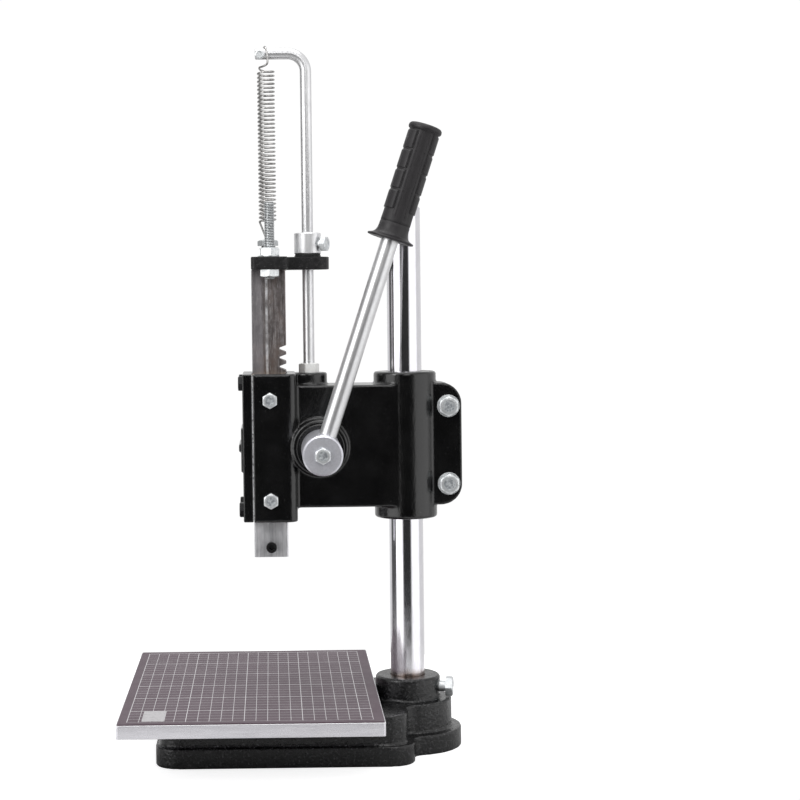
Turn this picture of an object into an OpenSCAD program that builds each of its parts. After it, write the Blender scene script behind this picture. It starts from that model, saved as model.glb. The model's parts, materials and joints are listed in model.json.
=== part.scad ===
// Bench hand press for punching and setting rivets. A lever turns a pinion, the pinion drives a
// square ram down through its rack, and an extension spring pulls the ram back up.
// Millimetres. The origin is on the resting plane under the ram's axis, +Z is up, -Y is the
// front and +X is the lever's side.

/* [Base] */
// Half width of the base casting
base_half_w = 88; // [80:1:95]
// Front edge of the base casting
base_front = -108; // [-115:1:-100]
// Thickness of the base's outer flange
flange_h = 18; // [14:1:22]
// Height of the base under the work plate
base_h = 45; // [43:1:48]
// Radius of the column socket on the base
socket_r = 30.5; // [27:0.5:34]
// Height of the column socket above the base
socket_h = 21; // [18:1:26]

/* [Work plate and mat] */
// Half width of the work plate
plate_half_w = 157.5; // [140:0.5:165]
// Front edge of the work plate
plate_front = -136.6; // [-140:0.1:-125]
// Rear edge of the work plate
plate_rear = 97; // [90:0.1:97]
// Thickness of the work plate
plate_t = 12; // [8:1:13]
// Thickness of the cutting mat
mat_t = 1; // [1:0.5:3]

/* [Column] */
// Diameter of the column
column_d = 32; // [30:0.5:33]
// Distance of the column behind the ram
column_y = 128; // [124:1:132]
// Top of the column
column_top = 509; // [490:1:525]

/* [Head] */
// Bottom of the head
head_z0 = 216; // [210:1:219]
// Top of the head
head_z1 = 354; // [352:1:355]
// Half width of the ram guide block
block_half_w = 38; // [36:0.5:42]
// Thickness of the front cover
cover_t = 9.4; // [7:0.1:10]
// Half width of the web between block and column
web_half_w = 28; // [26:0.5:29]
// Radius of the sleeve around the column
sleeve_r = 29.5; // [29.5:0.5:32]
// Half width of the pinion bosses
boss_half_w = 40; // [39:0.5:42]

/* [Pinion] */
// Gear module of the rack and pinion
gear_module = 2.75; // [2.75:0.05:2.8]
// Number of pinion teeth, an even number
gear_teeth = 24; // [24:2:24]
// Face width of the pinion
gear_w = 24; // [20:1:24]
// Height of the pinion shaft
gear_z = 285; // [283:1:287]
// Diameter of the pinion shaft
shaft_d = 20; // [18:0.5:20]

/* [Lever] */
// Diameter of the lever's hub
hub_d = 36; // [34:1:40]
// Outer end of the lever's hub
hub_x1 = 122; // [120:1:128]
// Distance of the lever rod from the ram's middle
lever_x = 96; // [94:1:100]
// Angle by which the lever leans back
lever_lean = 18.3; // [10:0.1:25]
// Diameter of the lever rod
lever_d = 16; // [14:0.5:17]
// Length from the hub's axis to the end of the grip
lever_len = 307; // [280:1:320]
// Length of the rubber grip
grip_len = 107; // [90:0.5:115]

/* [Ram] */
// Width of the square ram
ram_w = 32; // [32:0.1:32.2]
// Bottom of the ram
ram_z0 = 181; // [175:1:185]
// Top of the ram
ram_z1 = 451; // [450:0.5:451]
// Height of the uppermost rack gap
rack_top = 377; // [371:0.5:385]
// Diameter of the tool socket
socket_d = 10; // [8:0.5:12]
// Depth of the tool socket
socket_depth = 26; // [20:1:30]

/* [Return mechanism] */
// Diameter of the guide rod
rod_d = 10.8; // [10:0.1:11]
// Distance of the guide rod behind the ram's axis
rod_y = 37.5; // [37:0.5:38.5]
// Height of the guide rod's arm
rod_arm_z = 655; // [653:1:665]
// Bend radius of the guide rod
rod_bend_r = 17; // [15:1:19]
// Outer diameter of the return spring
spring_d = 17; // [16:0.5:18]
// Diameter of the spring wire
wire_d = 1.9; // [1.8:0.1:2]
// Bottom of the spring's coils
spring_z0 = 496; // [493:1:499]
// Top of the spring's coils
spring_z1 = 640; // [635:1:641]
// Number of spring turns
spring_turns = 37.75; // [30.75:1:38.75]

/* [Hidden] */
$fn = 64;

// Clearances between pieces: fit is radial on round fits, slide is on flat guides.
fit = 0.05;
slide = 0.1;
loose = 0.2;

// Colours of the finishes.
enamel = "#17181a";
textured = "#232325";
steel = "#8f9194";
bright = "#d6d8da";
zinc = "#b9bcc0";
black_oxide = "#202124";
rubber = "#2b2b2d";

// Base.
base_rear = 122;
tier_inset = 4;
base_corner_r = 22;
boss_r = 50;
tier_boss_r = 41;
boss_fillet_r = 12;
wall = 9;
rib = 8;
roof = 8;
cell_rear = 84;
cell_corner_r = 2;
column_z0 = 5;
set_screw_z = base_h + 10;
set_screw_turn = -10;
plate_screw_x = 60;
plate_screw_ys = [-80, 66];
m10_af = 17;
m8_af = 13;
m6_d = 6;
m8_d = 8;
m10_d = 10;
plate_top = base_h + plate_t;
mat_top = plate_top + mat_t;

// Head.
ear_rear = 180;
ear_half_w = 17;
ear_corner_r = 20;
web_z0 = 228.5;
web_z1 = 342.5;
slit_w = 3;
clamp_y = 167.3;
clamp_zs = [248.5, 321.5];
block_front = -ram_w / 2 - slide;
block_rear = 25;
block_corner_r = 8;
guide = ram_w / 2 + slide;
gib_t = 4;
gib_zs = [236.3, 329.5];
cover_bolt_x = 25;
cover_bolt_zs = [227, 345];
cover_bolt_depth = 18;
cover_bolt_head = 4;
badge_half_h = 20.5;
badge_t = 1.8;
band_t = 3.8;
band_z = 2;
band_half_h = 3.6;
rod_boss_d = 34;
rod_thread_d = 11;
rod_z0 = 331;
thread_top = 366;
lock_nut_turn = 38;

// Pinion and rack.
pitch_r = gear_module * gear_teeth / 2;
gear_y = ram_w / 2 - gear_module + pitch_r;
tip_r = pitch_r + gear_module;
root_r = pitch_r - 1.25 * gear_module;
pressure = 20;
base_circle_r = pitch_r * cos(pressure);
tooth_pitch = PI * gear_module;
backlash = 0.3;
teeth_above = round((rack_top - gear_z) / tooth_pitch);
teeth_below = 3;
rack_phase = rack_top - gear_z - teeth_above * tooth_pitch;
gear_phase = -rack_phase / pitch_r * 180 / PI;
flank_steps = 6;
pocket_r = tip_r + 2;
pocket_half_w = gear_w / 2 + 1;
boss_d = 53;
bush_d = 28;
bush_flange_d = 45;
bush_flange_t = 6;
bush_end = boss_half_w + bush_flange_t;
hub_x0 = bush_end + 1;
shaft_x1 = 84;
key_w = 6;
key_len = 22;

// Stroke: the handle's travel and the ram travel that follows from it.
bracket_t = 12;
bracket_z1 = ram_z1 + bracket_t;
bracket_half_w = 38;
arm_half_w = 14;
arm_end = 57.5;
stop_x = 28;
stop_y = 1.5;
stud_z0 = 442;
stud_len = 72;
anchor_head_z = 474;
buffer_t = 1.4;
collar_z0 = bracket_z1 + 2 * buffer_t;
collar_d = 25.4;
collar_h = 20;
collar_screw_z = 475;
collar_screw_turn = -25;
keeper_y = -5.5;
keeper_z = rod_arm_z - 1.4;
wire_sides = 6;
steps_per_turn = 8;
coil_r = (spring_d - wire_d) / 2;

// ---- Shared shapes ----

// Rectangle with round corners.
module round_rect(x0, x1, y0, y1, r) {
    translate([x0 + r, y0]) square([x1 - x0 - 2 * r, y1 - y0]);
    translate([x0, y0 + r]) square([x1 - x0, y1 - y0 - 2 * r]);
    for (x = [x0 + r, x1 - r], y = [y0 + r, y1 - r]) translate([x, y]) circle(r);
}

// Round bar with a chamfer at both ends, standing on the origin.
module bar(d, h, c = 0.5) {
    rotate_extrude()
        polygon([[0, 0], [d / 2 - c, 0], [d / 2, c], [d / 2, h - c], [d / 2 - c, h], [0, h]]);
}

// Hexagon with its top corners turned off to a round face.
module hex(af, h) {
    face_r = 0.46 * af;
    rim_r = af / 2 / cos(30) + 1;
    intersection() {
        cylinder(d = af / cos(30), h = h, $fn = 6);
        rotate_extrude()
            polygon([[0, 0], [rim_r, 0], [rim_r, h - 0.6 * (rim_r - face_r)], [face_r, h], [0, h]]);
    }
}

// Hexagon bolt with a dished face: the head stands on the origin and the shank goes down.
module hex_bolt(af, head_h, d, len) {
    difference() {
        hex(af, head_h);
        translate([0, 0, head_h - 0.5]) cylinder(d = 0.62 * af, h = 1);
    }
    translate([0, 0, -len]) bar(d, len + 1, 0.6);
}

module hex_nut(af, h, bore_d) {
    difference() {
        hex(af, h);
        translate([0, 0, -1]) cylinder(d = bore_d, h = h + 2);
    }
}

module washer(od, id, h) {
    difference() {
        cylinder(d = od, h = h);
        translate([0, 0, -1]) cylinder(d = id, h = h + 2);
    }
}

// Socket screw: a round head with a hexagon recess, and the shank goes down.
module socket_screw(head_d, head_h, d, len, key_af) {
    difference() {
        union() {
            bar(head_d, head_h, 0.4);
            translate([0, 0, -len]) bar(d, len + 1, 0.5);
        }
        translate([0, 0, head_h / 2]) cylinder(d = key_af / cos(30), h = head_h, $fn = 6);
    }
}

// Frames that lay a shape's Z axis along another direction.
module along_x() rotate([0, 90, 0]) children();
module along_y() rotate([-90, 0, 0]) children();
module profile_yz() rotate([90, 0, 90]) children();
module at_column() translate([0, column_y, 0]) children();
module at_shaft() translate([0, gear_y, gear_z]) children();
module at_lever() translate([lever_x, gear_y, gear_z]) rotate([-lever_lean, 0, 0]) children();

// ---- Base ----

// Outline of one tier: a rounded block and the column's boss, with a hollow round between them.
module base_plan(inset, rear, r) {
    round_rect(-base_half_w + inset, base_half_w - inset, base_front + inset, rear,
        base_corner_r - inset);
    translate([0, column_y]) circle(r);
    fillet_y = rear + boss_fillet_r;
    fillet_x = sqrt(pow(r + boss_fillet_r, 2) - pow(column_y - fillet_y, 2));
    difference() {
        polygon([[-fillet_x, rear - 1], [fillet_x, rear - 1], [fillet_x, fillet_y],
            [0, column_y], [-fillet_x, fillet_y]]);
        for (x = [-fillet_x, fillet_x]) translate([x, fillet_y]) circle(boss_fillet_r);
    }
}

module base_cells() {
    cell_x1 = base_half_w - tier_inset - wall;
    for (side = [-1, 1], row = [[base_front + tier_inset + wall, -rib / 2], [rib / 2, cell_rear]])
        translate([side * (cell_x1 + rib / 2) / 2, 0, -1])
            linear_extrude(base_h - roof + 1)
                round_rect(-(cell_x1 - rib / 2) / 2, (cell_x1 - rib / 2) / 2,
                    row[0], row[1], cell_corner_r);
}

module base_casting() color(textured) difference() {
    union() {
        linear_extrude(flange_h) base_plan(0, base_rear + 7, boss_r);
        translate([0, 0, flange_h - 1])
            linear_extrude(base_h - flange_h + 1) base_plan(tier_inset, base_rear, tier_boss_r);
        at_column() translate([0, 0, base_h - 1]) bar(2 * socket_r, socket_h + 1, 1.5);
    }
    base_cells();
    at_column() translate([0, 0, column_z0 - loose]) cylinder(d = column_d + 2 * fit, h = 100);
    at_column() translate([0, 0, set_screw_z]) rotate([0, 0, set_screw_turn])
        along_y() cylinder(d = m10_d + loose, h = socket_r + 5);
    for (x = [-plate_screw_x, plate_screw_x], y = plate_screw_ys)
        translate([x, y, base_h - roof - 1]) cylinder(d = m6_d + loose, h = roof + 2);
}

module work_plate() color(bright) difference() {
    translate([0, 0, base_h]) linear_extrude(plate_t)
        round_rect(-plate_half_w, plate_half_w, plate_front, plate_rear, 2);
    for (x = [-plate_screw_x, plate_screw_x], y = plate_screw_ys) translate([x, y, 0]) {
        translate([0, 0, base_h - 1]) cylinder(d = m6_d + 2 * loose, h = plate_t + 2);
        translate([0, 0, plate_top - 3.2]) cylinder(d1 = 6.4, d2 = 13.2, h = 3.4);
    }
}

module cutting_mat() color("#6d666d")
    translate([0, 0, plate_top]) linear_extrude(mat_t)
        round_rect(-plate_half_w + 1, plate_half_w - 1, plate_front + 1, plate_rear - 1, 2);

module blank_label() color("#e8e6e0")
    translate([0, 0, mat_top]) linear_extrude(0.2) round_rect(109, 147, -115, -95, 1);

module plate_screws() color(zinc)
    for (x = [-plate_screw_x, plate_screw_x], y = plate_screw_ys) translate([x, y, 0])
        difference() {
            union() {
                translate([0, 0, base_h - 7]) bar(m6_d, plate_t + 5, 0.5);
                translate([0, 0, plate_top - 3.3]) cylinder(d1 = 6, d2 = 12.2, h = 3.1);
            }
            translate([0, 0, plate_top - 2.2]) cylinder(d = 4 / cos(30), h = 4, $fn = 6);
        }

module column_set_screw() color(zinc) at_column() translate([0, 0, set_screw_z])
    rotate([0, 0, set_screw_turn]) along_y()
        translate([0, 0, socket_r + 5.5]) hex_bolt(m10_af, 7, m10_d, socket_r + 5.5 - 16.4);

module column() color(bright) at_column()
    translate([0, 0, column_z0]) bar(column_d, column_top - column_z0, 1.2);

// ---- Head ----

module clamp_ears() profile_yz() translate([0, 0, -ear_half_w]) linear_extrude(2 * ear_half_w) {
    translate([column_y, web_z0]) square([ear_rear - ear_corner_r - column_y, web_z1 - web_z0 + 1]);
    translate([column_y, web_z0 + ear_corner_r])
        square([ear_rear - column_y, web_z1 - web_z0 + 1 - 2 * ear_corner_r]);
    for (z = [web_z0 + ear_corner_r, web_z1 + 1 - ear_corner_r])
        translate([ear_rear - ear_corner_r, z]) circle(ear_corner_r);
}

module head_solid() {
    translate([0, 0, head_z0]) linear_extrude(head_z1 - head_z0) {
        translate([-block_half_w, block_front]) square([2 * block_half_w, 20]);
        round_rect(-block_half_w, block_half_w, block_front, block_rear, block_corner_r);
    }
    translate([-web_half_w, block_rear - 5, web_z0])
        cube([2 * web_half_w, column_y - block_rear + 5, web_z1 - web_z0]);
    at_column() translate([0, 0, head_z0]) bar(2 * sleeve_r, head_z1 - head_z0, 1.5);
    clamp_ears();
    translate([0, rod_y, web_z1 - 1]) bar(rod_boss_d, head_z1 - web_z1 + 1, 1);
    at_shaft() along_x() translate([0, 0, -boss_half_w]) bar(boss_d, 2 * boss_half_w, 1.5);
}

// The pocket that the pinion turns in, open to the ram's guide.
module pinion_pocket() {
    translate([-pocket_half_w, guide - 5, gear_z - pocket_r])
        cube([2 * pocket_half_w, gear_y - guide + 5, 2 * pocket_r]);
    at_shaft() along_x() translate([0, 0, -pocket_half_w])
        cylinder(r = pocket_r, h = 2 * pocket_half_w);
}

module head_casting() color(enamel) difference() {
    head_solid();
    translate([-guide, block_front - 1, head_z0 - 1])
        cube([2 * guide + gib_t, guide - block_front + 1, head_z1 - head_z0 + 2]);
    pinion_pocket();
    at_shaft() along_x() translate([0, 0, -boss_half_w - 1])
        cylinder(d = bush_d + 0.04, h = 2 * boss_half_w + 2);
    at_column() cylinder(d = column_d + 2 * fit, h = column_top);
    translate([-slit_w / 2, column_y, head_z0 - 1]) cube([slit_w, 60, head_z1 - head_z0 + 2]);
    for (z = clamp_zs) translate([0, clamp_y, z]) along_x()
        translate([0, 0, -50]) cylinder(d = m10_d + 2 * loose, h = 100);
    for (x = [-cover_bolt_x, cover_bolt_x], z = cover_bolt_zs)
        translate([x, block_front - 1, z]) along_y()
            cylinder(d = m8_d + loose, h = cover_bolt_depth + 2);
    for (z = gib_zs) translate([guide, 0, z]) along_x() cylinder(d = m8_d + loose, h = 40);
    translate([0, rod_y, rod_z0 - 1]) cylinder(d = rod_thread_d + loose, h = 60);
}

// Raised blank panel of the cover: a plain field with a thicker band across its middle.
module badge_panel() translate([0, block_front - cover_t + 0.5, gear_z - 2]) rotate([90, 0, 0]) {
    linear_extrude(badge_t + 0.5) round_rect(-33, 33, -badge_half_h, badge_half_h, 3);
    translate([0, band_z]) linear_extrude(band_t + 0.5)
        round_rect(-30, 30, -band_half_h, band_half_h, 1.5);
}

module front_cover() color(enamel) difference() {
    union() {
        translate([-block_half_w, block_front - cover_t, head_z0 + 0.5])
            cube([2 * block_half_w, cover_t, head_z1 - head_z0 - 0.5]);
        badge_panel();
    }
    for (x = [-cover_bolt_x, cover_bolt_x], z = cover_bolt_zs)
        translate([x, block_front - cover_t - 1, z]) along_y()
            cylinder(d = m8_d + 2 * loose, h = cover_t + 2);
}

module cover_bolts() color(black_oxide)
    for (x = [-cover_bolt_x, cover_bolt_x], z = cover_bolt_zs)
        translate([x, block_front - cover_t, z]) rotate([90, 0, 0])
            hex_bolt(m8_af, cover_bolt_head, m8_d, cover_t + cover_bolt_depth - 1);

module ram_gib() color("#b08a4a")
    translate([guide, -guide + 0.1, head_z0 + 0.5])
        cube([gib_t - 0.1, 2 * guide - 0.2, head_z1 - head_z0 - 1]);

module gib_bolts() color(zinc)
    for (z = gib_zs) translate([block_half_w, 0, z]) along_x()
        hex_bolt(m8_af, 5.3, m8_d, block_half_w - guide - gib_t);

module clamp_bolts() color(zinc)
    for (z = clamp_zs) translate([ear_half_w + 2, clamp_y, z]) along_x()
        hex_bolt(m10_af, 6.4, m10_d, 2 * ear_half_w + 2 + 2 + 8 + 3);

module clamp_washers() color(zinc)
    for (x = [ear_half_w, -ear_half_w - 2], z = clamp_zs) translate([x, clamp_y, z])
        along_x() washer(21, m10_d + loose, 2);

module clamp_nuts() color(zinc)
    for (z = clamp_zs) translate([-ear_half_w - 2, clamp_y, z]) mirror([1, 0, 0])
        along_x() hex_nut(m10_af, 8, m10_d + 2 * fit);

// The guide rod's straight arm, with a chamfer at its free end only.
module rod_arm() {
    arm_len = rod_y - rod_bend_r + 10;
    c = 0.8;
    rotate_extrude()
        polygon([[0, 0], [rod_d / 2, 0], [rod_d / 2, arm_len - c], [rod_d / 2 - c, arm_len],
            [0, arm_len]]);
}

module guide_rod() color(bright) difference() {
    union() {
        translate([0, rod_y, rod_z0]) bar(rod_thread_d, thread_top - rod_z0, 0.8);
        translate([0, rod_y, rod_z0 + 1])
            cylinder(d = rod_d, h = rod_arm_z - rod_bend_r - rod_z0 - 1);
        translate([0, rod_y - rod_bend_r, rod_arm_z - rod_bend_r]) profile_yz()
            rotate_extrude(angle = 90) translate([rod_bend_r, 0]) circle(d = rod_d);
        translate([0, rod_y - rod_bend_r, rod_arm_z]) rotate([90, 0, 0]) rod_arm();
    }
    translate([-20, keeper_y, keeper_z]) along_x() cylinder(d = 5 + loose, h = 40);
}

module rod_lock_nut() color(zinc)
    translate([0, rod_y, head_z1]) rotate([0, 0, lock_nut_turn])
        hex_nut(m10_af, 8.7, rod_thread_d + 2 * fit);

module spring_keeper_screw() color(zinc)
    translate([rod_d / 2, keeper_y, keeper_z]) along_x() rotate([0, 0, 30])
        hex_bolt(8, 3.5, 5, rod_d - 0.2);

module pinion_bush(side) mirror([side < 0 ? 1 : 0, 0, 0]) at_shaft() along_x() difference() {
    union() {
        translate([0, 0, pocket_half_w]) cylinder(d = bush_d, h = boss_half_w - pocket_half_w + 1);
        translate([0, 0, boss_half_w]) bar(bush_flange_d, bush_flange_t, 0.8);
    }
    cylinder(d = shaft_d + 2 * fit, h = bush_end + 1);
}

module pinion_bush_near() color(black_oxide) pinion_bush(1);

module pinion_bush_far() color(black_oxide) pinion_bush(-1);

// ---- Handle ----

// Involute angle function, and one flank of a tooth as polar points from root to tip.
function inv(a) = tan(a) * 180 / PI - a;
function half_tooth(r) = 90 / gear_teeth - backlash / 4 / pitch_r * 180 / PI
    + inv(pressure) - inv(acos(min(1, base_circle_r / r)));
function polar(r, a) = [r * cos(a), r * sin(a)];
function flank(side, a) = [for (i = [0 : flank_steps])
    let (r = base_circle_r + (tip_r - base_circle_r) * i / flank_steps)
    polar(r, a + side * half_tooth(r))];
function reversed(list) = [for (i = [len(list) - 1 : -1 : 0]) list[i]];
function tooth(a) = concat([polar(root_r, a - half_tooth(base_circle_r))], flank(-1, a),
    reversed(flank(1, a)), [polar(root_r, a + half_tooth(base_circle_r))]);

module pinion_gear() color(steel) difference() {
    at_shaft() rotate([gear_phase, 0, 0]) profile_yz() translate([0, 0, -gear_w / 2])
        linear_extrude(gear_w)
            polygon([for (i = [0 : gear_teeth - 1]) each tooth(i * 360 / gear_teeth)]);
    at_shaft() along_x() translate([0, 0, -gear_w]) cylinder(d = shaft_d + 0.04, h = 2 * gear_w);
    at_shaft() translate([-gear_w, -key_w / 2 - 0.02, 0]) cube([2 * gear_w, key_w + 0.04, 13]);
}

module pinion_shaft() color(steel) difference() {
    at_shaft() along_x() translate([0, 0, -bush_end - 1]) bar(shaft_d, bush_end + 1 + shaft_x1, 1);
    at_shaft() translate([-key_len / 2, -key_w / 2 - 0.02, 6.5])
        cube([key_len, key_w + 0.04, 10]);
    at_shaft() along_x() translate([0, 0, -bush_end - 2]) cylinder(d = m8_d + loose, h = 22);
    at_shaft() translate([65, 0, -20]) cylinder(d = m6_d + 2 * fit, h = 40);
}

module pinion_key() color(steel)
    at_shaft() translate([-key_len / 2 + 0.1, -key_w / 2, 6.6]) cube([key_len - 0.2, key_w, 6]);

module handle_hub() color(steel) difference() {
    at_shaft() along_x() translate([0, 0, hub_x0]) bar(hub_d, hub_x1 - hub_x0, 1.5);
    at_shaft() along_x() translate([0, 0, hub_x0 - 1])
        cylinder(d = shaft_d + 0.04, h = shaft_x1 - hub_x0 + 1.5);
    at_lever() translate([0, 0, -12.5]) cylinder(d = lever_d + 2 * fit, h = 40);
    at_shaft() along_x() translate([0, 0, lever_x]) cylinder(d = m8_d + loose, h = 40);
    at_shaft() translate([65, 0, -20]) cylinder(d = m6_d + 2 * fit, h = 40);
}

module hub_pin() color(steel) at_shaft() translate([65, 0, -17]) bar(m6_d, 34, 0.5);

module lever_lock_bolt() color(zinc) at_shaft() along_x()
    translate([0, 0, hub_x1]) hex_bolt(m8_af, 5.3, m8_d, hub_x1 - lever_x - lever_d / 2 - 0.1);

module handle_rod() color(bright) at_lever()
    translate([0, 0, -12]) bar(lever_d, lever_len - 12 + 12, 1.5);

module handle_grip() color(rubber) at_lever() difference() {
    translate([0, 0, lever_len - grip_len]) rotate_extrude()
        polygon([[0, 0], [20.6, 0], [21.4, 0.6], [21.4, 1.6], [20.6, 2.2], [17.2, 3],
            [15.2, 5.2], [14.3, 8.5], [14, 12], [14, grip_len - 9], [15.2, grip_len - 8],
            [15.2, grip_len - 3], [13.6, grip_len - 0.8], [11, grip_len], [0, grip_len]]);
    translate([0, 0, -20]) cylinder(d = lever_d + 2 * fit, h = lever_len - 12 + 20.1);
}

module shaft_end_washer() color(zinc) mirror([1, 0, 0]) at_shaft() along_x()
    translate([0, 0, bush_end + 1]) washer(26, m8_d + loose, 2.5);

module shaft_end_bolt() color(zinc) mirror([1, 0, 0]) at_shaft() along_x()
    translate([0, 0, bush_end + 3.5]) hex_bolt(m8_af, 5.3, m8_d, 20);

// ---- Ram ----

module rack_gap() {
    top = gear_module + 0.5;
    foot = 1.25 * gear_module;
    half = tooth_pitch / 4 + backlash / 4;
    profile_yz() translate([ram_w / 2 - gear_module, 0, -ram_w])
        linear_extrude(2 * ram_w)
            polygon([[-foot, -half + foot * tan(pressure)], [top, -half - top * tan(pressure)],
                [top, half + top * tan(pressure)], [-foot, half - foot * tan(pressure)]]);
}

module ram() color(steel) difference() {
    translate([0, 0, ram_z0]) linear_extrude(ram_z1 - ram_z0) {
        half = ram_w / 2;
        c = 1;
        polygon([[half - c, -half], [half, -half + c], [half, half - c], [half - c, half],
            [c - half, half], [-half, half - c], [-half, c - half], [c - half, -half]]);
    }
    for (i = [0 : teeth_above + teeth_below])
        translate([0, 0, rack_top - i * tooth_pitch]) rack_gap();
    translate([0, 0, ram_z0 - 1]) cylinder(d = socket_d, h = socket_depth + 1);
    translate([0, 0, ram_z0 + 9.5]) along_x() cylinder(d = m6_d + loose, h = 30);
    translate([0, 0, ram_z1 - 32]) cylinder(d = m10_d + loose, h = 40);
}

module punch_set_screw() color(black_oxide) translate([ram_w / 2, 0, ram_z0 + 9.5])
    along_x() socket_screw(10, 6, m6_d, ram_w / 2 - socket_d / 2 - 0.4, 5);

module top_bracket() color(enamel) difference() {
    translate([0, 0, ram_z1]) linear_extrude(bracket_t) {
        round_rect(-bracket_half_w, bracket_half_w, -ram_w / 2, 18, 4);
        translate([-arm_half_w, 0]) square([2 * arm_half_w, arm_end - arm_half_w]);
        translate([0, arm_end - arm_half_w]) circle(arm_half_w);
    }
    translate([0, 0, ram_z1 - 1]) cylinder(d = m10_d + 2 * loose, h = bracket_t + 2);
    translate([stop_x, stop_y, ram_z1 - 1]) cylinder(d = m10_d + 2 * fit, h = bracket_t + 2);
    translate([0, rod_y, ram_z1 - 1]) cylinder(d = rod_d + 0.2, h = bracket_t + 2);
}

module spring_anchor_bolt() color(zinc)
    translate([0, 0, anchor_head_z]) rotate([0, 0, 30])
        hex_bolt(m10_af, 5.5, m10_d, anchor_head_z - ram_z1 + 30);

module anchor_nut() color(zinc)
    translate([0, 0, bracket_z1 + 1.6]) hex_nut(m10_af, 7, m10_d + 2 * fit);

module anchor_washer() color(zinc)
    translate([0, 0, bracket_z1]) washer(20, m10_d + loose, 1.6);

module buffer_washer() color(zinc)
    translate([0, rod_y, bracket_z1]) washer(25, rod_d + 0.6, buffer_t);

module rubber_buffer() color(rubber)
    translate([0, rod_y, bracket_z1 + buffer_t]) washer(24, rod_d + 0.6, buffer_t - 0.1);

module stop_nuts() color(zinc) translate([stop_x, stop_y, 0]) {
    translate([0, 0, bracket_z1 + 1.2]) rotate([0, 0, 7]) hex_nut(m10_af, 7.4, m10_d + 2 * fit);
    translate([0, 0, ram_z1]) mirror([0, 0, 1]) rotate([0, 0, -3])
        hex_nut(m10_af, 6.8, m10_d + 2 * fit);
}

module stop_washer() color(zinc)
    translate([stop_x, stop_y, bracket_z1]) washer(18, m10_d + loose, 1.2);

module depth_stop_stud() color(zinc) translate([stop_x, stop_y, stud_z0])
    bar(m10_d, stud_len, 1);

// ---- Return mechanism ----

module stop_collar() color(steel) difference() {
    translate([0, rod_y, collar_z0]) bar(collar_d, collar_h, 0.8);
    translate([0, rod_y, 0]) cylinder(d = rod_d + 0.2, h = column_top);
    translate([0, rod_y, collar_screw_z]) rotate([0, 0, collar_screw_turn]) along_y()
        cylinder(d = m8_d + loose, h = 30);
}

module collar_set_screw() color(zinc) translate([0, rod_y, collar_screw_z])
    rotate([0, 0, collar_screw_turn]) along_y()
        translate([0, 0, 15]) hex_bolt(m8_af, 5.3, m8_d, 15 - rod_d / 2 - 0.4);

// Spring: the wire's centre line runs from the hook on the anchor bolt, up through the coils
// and over the guide rod's arm.
hook_low_r = m10_d / 2 + wire_d / 2 + 0.35;
hook_low_z = anchor_head_z - wire_d / 2 - 0.1;
hook_top_r = rod_d / 2 + wire_d / 2 + 0.3;
turn_h = (spring_z1 - spring_z0 - wire_d) / spring_turns;
coil_steps = spring_turns * steps_per_turn;
function coil_point(i) = let (a = -90 + i * 360 / steps_per_turn)
    [coil_r * cos(a), coil_r * sin(a), spring_z0 + wire_d / 2 + i / steps_per_turn * turn_h];
// The lower hook goes round the bolt under its head, rises beside the head and leans in to the
// front of the first coil.
low_hook = [for (a = [-60 : 30 : 180]) [hook_low_r * cos(a), hook_low_r * sin(a), hook_low_z]];
low_side = m10_af / 2 + wire_d / 2 + 0.4;
low_lead = [[-low_side, -0.5, hook_low_z + 0.4], [-low_side - 0.3, -0.9, hook_low_z + 3],
    [-low_side, -1.4, anchor_head_z + 7], [-coil_r, -4.5, spring_z0 - 7]];
// The last coil opens towards the front, crosses under the arm and rises on the lever's side.
top_lead = [[-coil_r + 1.5, -5, spring_z1 + 0.7], [-0.5, -6, spring_z1 + 2.2],
    [4.5, -2.5, spring_z1 + 2.8], [hook_top_r, 1.2, spring_z1 + 4.6],
    [hook_top_r + 0.1, 1.9, spring_z1 + 8.5]];
// The upper hook goes over the arm and leans a little to the front on the far side.
top_hook = [for (a = [0 : 20 : 200]) [hook_top_r * cos(a), 1.2 - a / 45,
    rod_arm_z + hook_top_r * sin(a)]];
coil = [for (i = [0 : coil_steps]) coil_point(i)];
wire_path = concat(low_hook, low_lead, coil, top_lead, top_hook);

function unit(v) = v / norm(v);
function along(path, i) = unit(path[min(i + 1, len(path) - 1)] - path[max(i - 1, 0)]);
// Each ring stands square to the wire, with one side kept towards the spring's axis.
function ring_at(path, i) = let (
    t = along(path, i),
    guess = unit([path[i][0], path[i][1] + 0.01, 0]),
    ref = abs(guess * t) > 0.9 ? [0, 1, 0] : guess,
    u = unit(ref - (ref * t) * t),
    v = cross(t, u))
    [for (k = [0 : wire_sides - 1]) let (a = k * 360 / wire_sides)
        path[i] + wire_d / 2 * (u * cos(a) + v * sin(a))];

module return_spring() color(zinc) {
    n = len(wire_path);
    polyhedron(
        points = [for (i = [0 : n - 1]) each ring_at(wire_path, i)],
        faces = concat(
            [[for (k = [0 : wire_sides - 1]) k]],
            [for (i = [0 : n - 2], k = [0 : wire_sides - 1]) let (
                k1 = (k + 1) % wire_sides, a = i * wire_sides, b = a + wire_sides)
                each [[a + k, b + k, b + k1], [a + k, b + k1, a + k1]]],
            [[for (k = [wire_sides - 1 : -1 : 0]) (n - 1) * wire_sides + k]]));
}

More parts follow.
